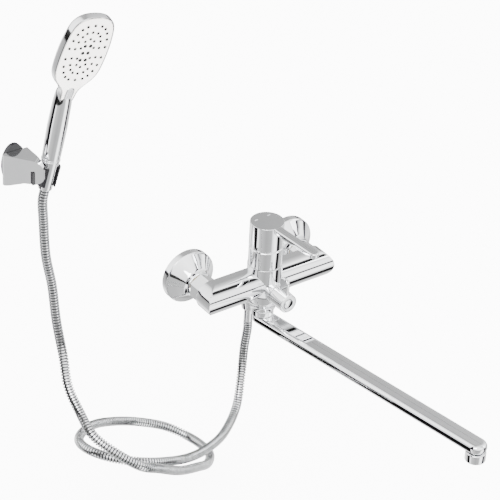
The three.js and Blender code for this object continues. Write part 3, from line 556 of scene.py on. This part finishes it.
def makeDiverter():
    knob = {"front": -114, "back": -90.4, "radius": 12, "height": -6, "finTop": 27, "finThickness": 4.6}
    front = knob["front"]
    outline = [
        (0, front + 3.2), (6.5, front + 3.2), (6.5, front), (knob["radius"], front),
        (knob["radius"] + 0.7, knob["back"]),
        (9.2, knob["back"]), (9.2, knob["back"] - 2.5), (0, knob["back"] - 2.5),
    ]
    bm = bmesh.new()
    turnedShell(bm, outline, outAt(0, knob["height"]), 0.9)
    fin = bmesh.new()
    roundedBlock(fin, (33, 16, knob["finThickness"]), (0, 0, 0), upright=7.9, edge=1.6, segments=5)
    finMiddle = Matrix.Translation((0, front + 10, knob["finTop"] - 16.5))
    upright = finMiddle @ Matrix.Rotation(math.pi / 2, 4, "Y")
    joined(bm, fin, upright)
    finished("diverterHandle", bm, "diverter", "chrome", ["diverter_knob"], sharp=30, weighted=True)
    turnedPiece(
        "diverterIndex", [(0, front - 0.2), (6, front - 0.1), (6, front + 2), (0, front + 2)],
        "diverter", "chrome",
        ["diverter_index_cap"], outAt(0, knob["height"]), radius=0.6,
    )


makeDiverter()
print("diverter made")


def makeSpout():
    spout = {
        "reach": 350, "turn": 10, "width": 25, "height": 13, "top": -48.6, "aerator": 12.4,
        "aeratorHeight": 12.6,
    }
    middle = spout["top"] - spout["height"] / 2
    turn = Matrix.Rotation(math.radians(spout["turn"]), 4, "Z")
    place = Matrix.Translation((0, bodyAxis, middle)) @ turn
    bm = bmesh.new()
    length = spout["reach"] + spout["width"]
    roundedBlock(
        bm, (spout["width"], length, spout["height"]), (0, -spout["reach"] / 2, 0),
        upright=spout["width"] / 2 - 0.01, edge=spout["height"] / 2 - 0.6, segments=10,
    )
    finished("spoutTube", bm, "spout", "chrome", ["spout_tube"], place, sharp=30, weighted=True)
    turnedPiece(
        "spoutStem", [(0, 0), (8.6, 0), (8.6, 26), (7, 26), (7, 4), (0, 4)], "spout", "brass", (),
        place, radius=0.4,
    )
    turnedPiece("spoutNutRing", closedOutline([
        (9.4, -48.2), (14.2, -48.2), (14.4, -47.4), (14.4, -41.2), (14.0, -40.4), (9.4, -40.4),
    ]), "mixer", "chrome", ["spout_nut"], upAt(0, bodyAxis), radius=0.5)
    top = -spout["height"] / 2 - 0.35
    low = top - spout["aeratorHeight"]
    tip = place @ Matrix.Translation((0, -spout["reach"], 0))
    turnedPiece("aeratorShell", closedOutline([
        (9.6, top), (11.8, top), (spout["aerator"], top - 0.8), (spout["aerator"], low + 1),
        (11.4, low), (9.6, low),
    ]), "spout", "chrome", ["aerator_housing"], tip, radius=0.6)


makeSpout()
print("spout made")


# Handset head: one outline, drawn in by a margin for each level
def headOutline(margin, samples=14):
    half = 30.5 - margin
    neck = max(9.5 - margin, 0.8)
    top = 112 - margin
    low = -9 + min(margin, 8)
    right = [
        ((0, low), (neck * 0.8, low), (neck, low + 5), (neck + 0.5, 6)),
        ((neck + 0.5, 6), (neck + 3, 20), (half - 2, 20), (half - 0.5, 44)),
        ((half - 0.5, 44), (half + 1, 64), (half, 78), (half - 2.5, 92)),
        ((half - 2.5, 92), (half - 6, top - 2), (max(12 - margin, 2), top), (0, top)),
    ]
    points = []
    for a, b, c, d in right:
        points += interpolate_bezier(Vector(a), Vector(b), Vector(c), Vector(d), samples)[:-1]
    left = [Vector((-p.x, p.y)) for p in reversed(points[1:])]
    return points + [Vector((0, top))] + left


def stackLoops(bm, levels):
    # bridges the outline from level to level and closes both ends
    rings = []
    for margin, height in levels:
        verts = [bm.verts.new((p.x, p.y, height)) for p in headOutline(margin)]
        rings.append([bm.edges.new(pair) for pair in zip(verts, verts[1:] + verts[:1])])
    for first, second in zip(rings, rings[1:]):
        bmesh.ops.bridge_loops(bm, edges=first + second)
    bmesh.ops.edgeloop_fill(bm, edges=rings[0])
    bmesh.ops.edgeloop_fill(bm, edges=rings[-1])
    bmesh.ops.recalc_face_normals(bm, faces=bm.faces)


def nozzlePlaces():
    places = []
    for count, across, along in ((22, 23.2, 37), (18, 15.6, 28), (10, 8.6, 19)):
        for step in range(count):
            angle = math.tau * (step + 0.5) / count
            x = math.copysign(abs(math.cos(angle)) ** 0.75, math.cos(angle)) * across
            y = math.copysign(abs(math.sin(angle)) ** 0.85, math.sin(angle)) * along
            places.append((x, y, 1.75))
    for row in (-9.5, 0, 9.5):
        places += [(-3.4, row, 2.3), (3.4, row, 2.3)]
    return places


def makeHandset():
    head = {"front": 8.5, "back": -8.5, "domeWidth": 20, "shoulder": 1.5, "crown": 0.5, "faceCentre": 64}
    levels = [
        (3.2, 5.0), (1.35, 5.2), (1.3, head["front"] - 0.25), (0.9, head["front"]),
        (0.35, head["front"] - 0.3),
    ]
    levels += [(0.05, head["front"] - 1.2), (0, head["shoulder"])]
    for step in range(1, 13):
        angle = step * math.pi / 24
        depth = head["shoulder"] - (head["shoulder"] - head["back"]) * math.sin(angle)
        levels.append((head["domeWidth"] * (1 - math.cos(angle)), depth))
    bm = bmesh.new()
    stackLoops(bm, levels)
    bm.transform(handsetPlace.inverted() @ headPlace)
    grip = [(0, 0.2), (10.4, 0.2), (10.6, 0.9), (11.6, 40), (10.9, 70), (9.4, 84), (5, 92), (0, 94)]
    turnedShell(bm, grip, Matrix(), 3.5)
    finished(
        "handsetShell", bm, "handset", "chrome", ["handset_shell"], handsetPlace, sharp=38,
        weighted=True,
    )

    front = head["front"]
    bm = bmesh.new()
    stackLoops(bm, [
        (1.9, 5.4), (1.75, 5.8), (1.75, front - 0.7), (2.1, front - 0.2), (2.8, front),
        (6, front + head["crown"] * 0.5),
        (12, front + head["crown"] * 0.85), (18, front + head["crown"]),
    ])
    finished("sprayFacePlate", bm, "handset", "white_plastic", ["spray_face"], headPlace, sharp=50)

    bm = bmesh.new()
    for x, y, radius in nozzlePlaces():
        made = bmesh.ops.create_cone(
            bm, cap_ends=True, segments=12, radius1=radius, radius2=radius * 0.88, depth=2,
        )
        bmesh.ops.translate(bm, vec=(x, y + head["faceCentre"], front + 0.1), verts=made["verts"])
    finished("nozzleTips", bm, "handset", "rubber", ["nozzle_mat"], headPlace)

    bm = bmesh.new()
    roundedBlock(bm, (10.9, 17.9, 6), (0, 7, front - 1.6), upright=5.4, edge=1.6, segments=5)
    for row in range(4):
        for column in (-1, 0, 1):
            made = bmesh.ops.create_uvsphere(bm, u_segments=12, v_segments=8, radius=0.85)
            bmesh.ops.translate(bm, vec=(column * 2.5, 2.6 + row * 2.9, front + 1.2), verts=made["verts"])
    finished("sprayButtonPad", bm, "spray_button", "chrome", ["spray_button"], headPlace, weighted=True)

    bm = bmesh.new()
    ring = closedOutline([(10.4, -0.3), (11.1, -0.3), (11.1, 1.3), (10.4, 1.3)])
    spin(bm, rounded(ring, 0.4, 4), 96)
    finished("handleFootRing", bm, "handset", "chrome", (), handsetPlace)


makeHandset()
print("handset made")


# Studio: pale floor, soft boxes, and a bright surround with dark bands for the metal to mirror
studio = {
    "floorDrop": 0.03, "floorSize": 14, "floorGlow": 7.0, "daylight": 5.0, "mirrored": 3.6, "key": 60,
    "fill": 25,
    "facing": 233.3,
    "low": (
        (0.0, 0.14), (0.06, 0.26), (0.12, 0.80), (0.20, 0.24), (0.23, 0.18), (0.25, 0.002), (0.32, 0.002),
        (0.335, 0.9), (0.38, 0.30), (0.50, 0.19), (0.60, 0.24), (0.64, 1.0), (0.70, 1.0), (0.72, 0.003),
        (0.765, 0.003), (0.79, 0.22), (0.90, 0.50), (1.0, 0.14),
    ),
    "high": (
        (0.0, 0.17), (0.08, 0.20), (0.15, 0.70), (0.28, 1.0), (0.31, 0.003), (0.38, 0.003), (0.41, 0.6),
        (0.60, 1.0), (0.70, 0.9), (0.73, 0.01), (0.78, 0.01), (0.81, 1.0), (0.92, 0.40), (1.0, 0.17),
    ),
}


def makeFloor():
    bm = bmesh.new()
    bmesh.ops.create_grid(bm, x_segments=4, y_segments=4, size=studio["floorSize"] / 2)
    mesh = bpy.data.meshes.new("studioFloor")
    bm.to_mesh(mesh)
    bm.free()
    material, nodes, links, shader, coordinates = nodeMaterial("studioFloorFinish")
    cloud = noiseFrom(nodes, links, coordinates, 1.5)
    colour = shader.inputs["Base Color"]
    tinted(nodes, links, cloud.outputs["Fac"], (0.90, 0.90, 0.90), (0.92, 0.92, 0.92), colour)
    shader.inputs["Roughness"].default_value = 0.9
    shader.inputs["Emission Color"].default_value = (1, 1, 1, 1)
    shader.inputs["Emission Strength"].default_value = studio["floorGlow"]
    mesh.materials.append(material)
    floor = bpy.data.objects.new("studioFloor", mesh)
    floor.location = (0, 0, cadBounds[0][2] - studio["floorDrop"])
    floor.visible_glossy = False
    scene.collection.objects.link(floor)


def addSoftbox(name, place, aim, size, power):
    data = bpy.data.lights.new(name, "AREA")
    data.shape = "RECTANGLE"
    data.size, data.size_y = size
    data.energy = power
    lamp = bpy.data.objects.new(name, data)
    direction = Vector(aim) - Vector(place)
    lamp.matrix_world = Matrix.Translation(place) @ direction.to_track_quat("-Z", "Y").to_matrix().to_4x4()
    scene.collection.objects.link(lamp)


def greyBands(nodes, links, source, bands):
    ramp = nodes.new("ShaderNodeValToRGB")
    links.new(source, ramp.inputs["Fac"])
    for position, _ in bands[1:-1]:
        ramp.color_ramp.elements.new(position)
    for element, (position, level) in zip(ramp.color_ramp.elements, bands):
        element.position = position
        element.color = (level, level, level, 1)
    return ramp.outputs["Color"]


def ranged(nodes, links, source, low, high):
    share = nodes.new("ShaderNodeMapRange")
    share.inputs["From Min"].default_value = low
    share.inputs["From Max"].default_value = high
    links.new(source, share.inputs["Value"])
    return share.outputs["Result"]


def layered(nodes, links, share, under, over):
    mix = nodes.new("ShaderNodeMixRGB")
    links.new(share, mix.inputs["Fac"])
    links.new(under, mix.inputs["Color1"])
    links.new(over, mix.inputs["Color2"])
    return mix.outputs["Color"]


def makeSurround():
    world = bpy.data.worlds.new("studioSurround")
    scene.world = world
    world.use_nodes = True
    nodes = world.node_tree.nodes
    links = world.node_tree.links
    nodes.clear()
    output = nodes.new("ShaderNodeOutputWorld")
    coordinates = nodes.new("ShaderNodeTexCoord")
    turned = nodes.new("ShaderNodeVectorRotate")
    turned.rotation_type = "Z_AXIS"
    turned.inputs["Angle"].default_value = -math.radians(studio["facing"])
    links.new(coordinates.outputs["Generated"], turned.inputs["Vector"])
    parts = nodes.new("ShaderNodeSeparateXYZ")
    links.new(turned.outputs["Vector"], parts.inputs["Vector"])
    around = nodes.new("ShaderNodeMath")
    around.operation = "ARCTAN2"
    links.new(parts.outputs["Y"], around.inputs[0])
    links.new(parts.outputs["X"], around.inputs[1])
    share = ranged(nodes, links, around.outputs["Value"], -math.pi, math.pi)
    low = greyBands(nodes, links, share, studio["low"])
    high = greyBands(nodes, links, share, studio["high"])
    sides = layered(nodes, links, ranged(nodes, links, parts.outputs["Z"], -0.04, 0.04), low, high)
    distance = nodes.new("ShaderNodeMath")
    distance.operation = "ABSOLUTE"
    links.new(parts.outputs["Z"], distance.inputs[0])
    horizon = greyBands(
        nodes, links, distance.outputs["Value"], ((0.0, 0.0), (0.07, 0.0), (0.1, 1.0), (1.0, 1.0)),
    )
    blend = nodes.new("ShaderNodeMixRGB")
    blend.blend_type = "MULTIPLY"
    blend.inputs["Fac"].default_value = 0.97
    links.new(sides, blend.inputs["Color1"])
    links.new(horizon, blend.inputs["Color2"])
    mirrored = nodes.new("ShaderNodeBackground")
    mirrored.inputs["Strength"].default_value = studio["mirrored"]
    links.new(blend.outputs["Color"], mirrored.inputs["Color"])
    plain = nodes.new("ShaderNodeBackground")
    plain.inputs["Strength"].default_value = studio["daylight"]
    plain.inputs["Color"].default_value = (1, 1, 1, 1)
    path = nodes.new("ShaderNodeLightPath")
    mix = nodes.new("ShaderNodeMixShader")
    links.new(path.outputs["Is Glossy Ray"], mix.inputs["Fac"])
    links.new(plain.outputs["Background"], mix.inputs[1])
    links.new(mirrored.outputs["Background"], mix.inputs[2])
    links.new(mix.outputs["Shader"], output.inputs["Surface"])


makeFloor()
makeSurround()
addSoftbox("keyBox", (-1.6, -1.4, 2.2), (0, 0, 0), (1.6, 1.2), studio["key"])
addSoftbox("fillBox", (2.0, -1.6, 1.2), (0, 0, 0), (0.8, 1.8), studio["fill"])
print("studio made")
